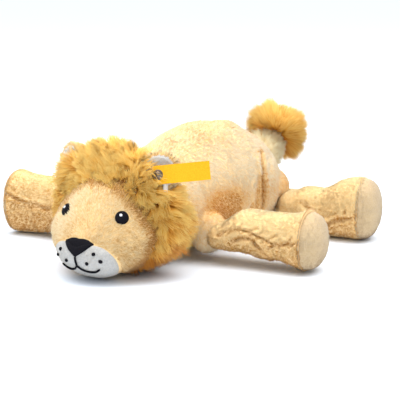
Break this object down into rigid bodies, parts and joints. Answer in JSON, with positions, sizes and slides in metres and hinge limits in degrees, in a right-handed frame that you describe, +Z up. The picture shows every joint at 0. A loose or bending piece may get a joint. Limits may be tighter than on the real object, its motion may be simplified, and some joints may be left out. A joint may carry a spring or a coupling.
{
  "type": "plush lion",
  "caption": "Plush lion lying on its belly with its legs spread, long-pile mane and tail tuft, stitched face, pale muzzle and soles, and a plain woven tag riveted to one ear.",
  "frame": {"origin": "in the middle of the belly's flat resting face, on the floor", "axes": "the lion looks along -Y, its left side is +X and +Z is up"},
  "size_m": [0.2695, 0.2975, 0.096],
  "materials": {
    "plush": "short cream-gold plush pile",
    "mane": "long amber plush pile",
    "sole": "close-cropped pale plush",
    "muzzle": "short pale grey plush",
    "lining": "short off-white plush",
    "stitch": "satin-stitched black thread",
    "shine": "satin-stitched white thread",
    "filling": "white fibre filling",
    "tag": "plain yellow woven ribbon",
    "label": "plain white woven ribbon",
    "rivet": "plain domed rivet, worn satin"
  },
  "bodies": {
    "torso": {"torso_cover": "plush", "torso_filling": "filling"},
    "head": {"head_cover": "plush", "head_filling": "filling", "mane": "mane", "muzzle_patch": "muzzle", "nose": "stitch", "mouth": "stitch", "eye_left": "stitch", "eye_shine_left": "shine", "eye_right": "stitch", "eye_shine_right": "shine", "whisker_spot_left_1": "stitch", "whisker_spot_left_2": "stitch", "whisker_spot_left_3": "stitch", "whisker_spot_right_1": "stitch", "whisker_spot_right_2": "stitch", "whisker_spot_right_3": "stitch", "ear_left": "mane", "ear_lining_left": "lining", "ear_right": "mane", "ear_lining_right": "lining", "ear_tag": "tag", "care_label": "label", "tag_rivet": "rivet", "rivet_washer": "rivet"},
    "foreleg_left": {"foreleg_left_cover": "plush", "foreleg_left_filling": "filling", "foreleg_left_sole": "sole"},
    "foreleg_right": {"foreleg_right_cover": "plush", "foreleg_right_filling": "filling", "foreleg_right_sole": "sole"},
    "hindleg_left": {"hindleg_left_cover": "plush", "hindleg_left_filling": "filling", "hindleg_left_sole": "sole"},
    "hindleg_right": {"hindleg_right_cover": "plush", "hindleg_right_filling": "filling", "hindleg_right_sole": "sole"},
    "tail": {"tail_cover": "plush", "tail_filling": "filling", "tail_tuft": "mane"}
  },
  "joints": [
    {"name": "head_nod", "type": "hinge", "parent": "torso", "child": "head", "pos_m": [0, -0.08194, 0.039], "axis": [-1, 0, 0], "range_deg": [-10, 25]},
    {"name": "foreleg_left_flap", "type": "hinge", "parent": "torso", "child": "foreleg_left", "pos_m": [0.05, -0.06899, 0.0189], "axis": [0, -1, 0], "range_deg": [-25, 25]},
    {"name": "foreleg_right_flap", "type": "hinge", "parent": "torso", "child": "foreleg_right", "pos_m": [-0.05, -0.06899, 0.02205], "axis": [0, 1, 0], "range_deg": [-25, 25]},
    {"name": "hindleg_left_flap", "type": "hinge", "parent": "torso", "child": "hindleg_left", "pos_m": [0.05, 0.03496, 0.0188], "axis": [0, -1, 0], "range_deg": [-30, 30]},
    {"name": "hindleg_right_flap", "type": "hinge", "parent": "torso", "child": "hindleg_right", "pos_m": [-0.05, 0.03496, 0.0188], "axis": [0, 1, 0], "range_deg": [-30, 30]},
    {"name": "tail_bend", "type": "hinge", "parent": "torso", "child": "tail", "pos_m": [0, 0.05406, 0.043], "axis": [1, 0, 0], "range_deg": [-30, 10], "stiffness_Nm_per_rad": 0.1}
  ]
}
